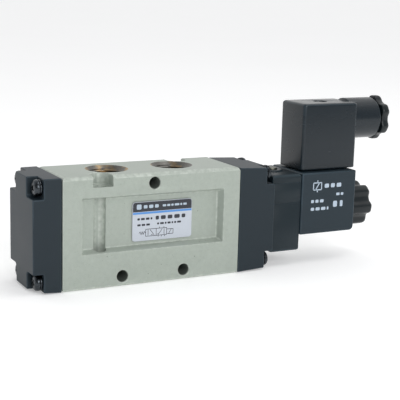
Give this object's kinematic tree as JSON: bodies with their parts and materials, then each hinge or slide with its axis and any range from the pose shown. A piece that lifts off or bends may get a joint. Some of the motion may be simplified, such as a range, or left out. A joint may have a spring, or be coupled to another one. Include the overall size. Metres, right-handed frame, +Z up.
{
  "type": "solenoid directional valve",
  "caption": "Pneumatic 5/2 directional valve: grey cast body with side recesses, black end covers, pilot block, moulded coil and cable plug with gland.",
  "frame": {"origin": "on the floor plane under the valve body, below the middle of the whole assembly's length and width", "axes": "+X along the valve from the end cap towards the coil and plug, +Z up with the working ports on top, the labelled front side faces -Y"},
  "size_m": [0.1874, 0.032, 0.0791],
  "materials": {
    "black_resin": "glass filled resin, satin",
    "black_screw": "blackened steel",
    "black_washer": "blackened steel",
    "brass_button": "turned brass, satin",
    "cast_body": "die-cast aluminium, fine blasted grain, pale grey-green",
    "coil_resin": "moulded coil resin, satin",
    "copper_wire": "enamelled copper",
    "knob_plastic": "moulded nylon, satin",
    "label_film": "printed film",
    "natural_nylon": "natural nylon",
    "nitrile_rubber": "black nitrile",
    "plug_plastic": "moulded nylon, satin",
    "spool_aluminium": "turned and anodised",
    "spring_wire": "stainless spring wire",
    "stainless_steel": "turned stainless steel",
    "tinned_pin": "tinned brass",
    "yoke_steel": "pressed steel",
    "zinc_screw": "zinc plated steel"
  },
  "bodies": {
    "valve": {"adapter_gasket": "nitrile_rubber", "adapter_screw_back_low": "black_screw", "adapter_screw_back_top": "black_screw", "adapter_screw_front_low": "black_screw", "adapter_screw_front_top": "black_screw", "adapter_washer_back_low": "black_washer", "adapter_washer_back_top": "black_washer", "adapter_washer_front_low": "black_washer", "adapter_washer_front_top": "black_washer", "armature_tube": "stainless_steel", "coil_bobbin": "natural_nylon", "coil_end_plate": "yoke_steel", "coil_housing": "coil_resin", "coil_nut": "knob_plastic", "coil_winding": "copper_wire", "end_cap": "black_resin", "end_cap_gasket": "nitrile_rubber", "end_cap_screw_back_low": "black_screw", "end_cap_screw_back_top": "black_screw", "end_cap_screw_front_low": "black_screw", "end_cap_screw_front_top": "black_screw", "end_cap_washer_back_low": "black_washer", "end_cap_washer_back_top": "black_washer", "end_cap_washer_front_low": "black_washer", "end_cap_washer_front_top": "black_washer", "fixed_core": "stainless_steel", "gland_grommet": "nitrile_rubber", "gland_nut": "knob_plastic", "gland_washer": "natural_nylon", "ground_pin": "tinned_pin", "label_plate": "label_film", "override_spring": "spring_wire", "pilot_adapter": "black_resin", "pilot_block": "black_resin", "pilot_gasket": "nitrile_rubber", "pilot_screw_back": "zinc_screw", "pilot_screw_front": "zinc_screw", "plug_gasket": "nitrile_rubber", "plug_housing": "plug_plastic", "plug_insert": "plug_plastic", "plug_screw": "black_screw", "plunger_spring": "spring_wire", "return_spring": "spring_wire", "terminal_pin_back": "tinned_pin", "terminal_pin_front": "tinned_pin", "tube_o_ring": "nitrile_rubber", "valve_body": "cast_body"},
    "spool": {"spool": "spool_aluminium", "pilot_piston": "natural_nylon", "piston_seal": "nitrile_rubber", "spool_seal_1": "nitrile_rubber", "spool_seal_2": "nitrile_rubber", "spool_seal_3": "nitrile_rubber", "spool_seal_4": "nitrile_rubber", "spool_seal_5": "nitrile_rubber", "spool_seal_6": "nitrile_rubber"},
    "plunger": {"plunger": "stainless_steel", "plunger_seal": "nitrile_rubber"},
    "override": {"manual_override_button": "brass_button"}
  },
  "joints": [
    {"name": "spool_shift", "type": "slide", "parent": "valve", "child": "spool", "axis": [-1, 0, 0], "range_m": [0, 0.004], "stiffness_N_per_m": 1500, "springref_m": -0.004, "deforming": ["return_spring"]},
    {"name": "plunger_lift", "type": "slide", "parent": "valve", "child": "plunger", "axis": [1, 0, 0], "range_m": [0, 0.0008], "stiffness_N_per_m": 600, "springref_m": -0.003, "deforming": ["plunger_spring"]},
    {"name": "override_press", "type": "slide", "parent": "valve", "child": "override", "axis": [0, 0, -1], "range_m": [0, 0.0015], "stiffness_N_per_m": 400, "springref_m": -0.002, "deforming": ["override_spring"]}
  ]
}
